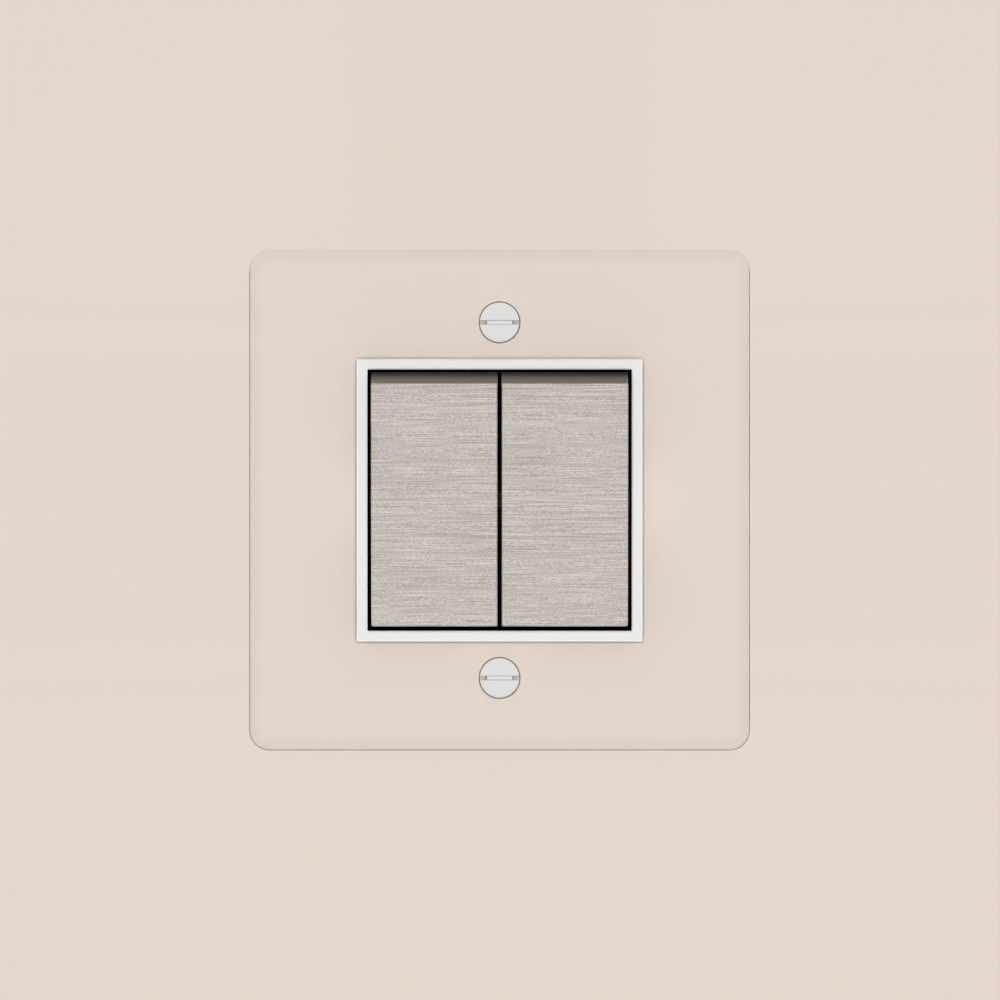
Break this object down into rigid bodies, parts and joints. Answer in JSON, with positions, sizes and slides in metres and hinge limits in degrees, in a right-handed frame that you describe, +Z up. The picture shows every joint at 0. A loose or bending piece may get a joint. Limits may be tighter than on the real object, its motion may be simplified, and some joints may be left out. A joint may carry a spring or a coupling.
{
  "type": "double rocker light switch",
  "caption": "Wall switch with a clear square plate, a white frame and side-by-side brushed steel rockers that tilt to open and close change-over contacts inside.",
  "frame": {"origin": "centre of the plate's back, in the wall plane, midway between the fixing screws", "axes": "+X to the right seen from the front, +Y into the wall, +Z up"},
  "size_m": [0.085, 0.0359, 0.085],
  "materials": {
    "clear_acrylic": "polished, clear",
    "white_plastic": "satin moulded white",
    "plated_screw": "satin plated steel",
    "black_plastic": "fine moulded black",
    "grey_plastic": "fine moulded warm grey",
    "brushed_steel": "brushed across, satin",
    "natural_nylon": "natural moulded",
    "spring_steel": "drawn wire",
    "brass": "stamped, bright",
    "silver": "polished contact silver",
    "zinc_screw": "zinc plated"
  },
  "bodies": {
    "switch_body": {"front_plate": "clear_acrylic", "bezel_frame": "white_plastic", "sleeve_frame": "black_plastic", "fixing_screws": "plated_screw", "left_module_frame": "black_plastic", "left_module_base": "black_plastic", "left_common_terminal": "brass", "left_upper_terminal": "brass", "left_lower_terminal": "brass", "left_fixed_contacts": "silver", "left_terminal_screws": "zinc_screw", "right_module_frame": "black_plastic", "right_module_base": "black_plastic", "right_common_terminal": "brass", "right_upper_terminal": "brass", "right_lower_terminal": "brass", "right_fixed_contacts": "silver", "right_terminal_screws": "zinc_screw"},
    "left_rocker": {"left_rocker_carrier": "grey_plastic", "left_rocker_cap": "brushed_steel", "left_plunger_spring": "spring_steel"},
    "left_pin": {"left_plunger": "natural_nylon"},
    "left_lever": {"left_contact_lever": "brass", "left_lever_contacts": "silver"},
    "right_rocker": {"right_rocker_carrier": "grey_plastic", "right_rocker_cap": "brushed_steel", "right_plunger_spring": "spring_steel"},
    "right_pin": {"right_plunger": "natural_nylon"},
    "right_lever": {"right_contact_lever": "brass", "right_lever_contacts": "silver"}
  },
  "joints": [
    {"name": "left_rocker_hinge", "type": "hinge", "parent": "switch_body", "child": "left_rocker", "pos_m": [-0.01104, -0.00147, 0], "axis": [-1, 0, 0], "range_deg": [0, 14]},
    {"name": "left_plunger_slide", "type": "slide", "parent": "left_rocker", "child": "left_pin", "axis": [0, -0.9925, -0.1219], "range_m": [0, 0.0008], "stiffness_N_per_m": 400, "springref_m": -0.004, "deforming": ["left_plunger_spring"]},
    {"name": "left_lever_hinge", "type": "hinge", "parent": "switch_body", "child": "left_lever", "pos_m": [-0.01104, 0.01051, 0], "axis": [1, 0, 0], "range_deg": [0, 17]},
    {"name": "right_rocker_hinge", "type": "hinge", "parent": "switch_body", "child": "right_rocker", "pos_m": [0.01104, -0.00147, 0], "axis": [-1, 0, 0], "range_deg": [0, 14]},
    {"name": "right_plunger_slide", "type": "slide", "parent": "right_rocker", "child": "right_pin", "axis": [0, -0.9925, -0.1219], "range_m": [0, 0.0008], "stiffness_N_per_m": 400, "springref_m": -0.004, "deforming": ["right_plunger_spring"]},
    {"name": "right_lever_hinge", "type": "hinge", "parent": "switch_body", "child": "right_lever", "pos_m": [0.01104, 0.01051, 0], "axis": [1, 0, 0], "range_deg": [0, 17]}
  ],
  "couplings": [
    {"joint": "left_lever_hinge", "follows": "left_rocker_hinge", "ratio": 1.2142},
    {"joint": "right_lever_hinge", "follows": "right_rocker_hinge", "ratio": 1.2142}
  ]
}
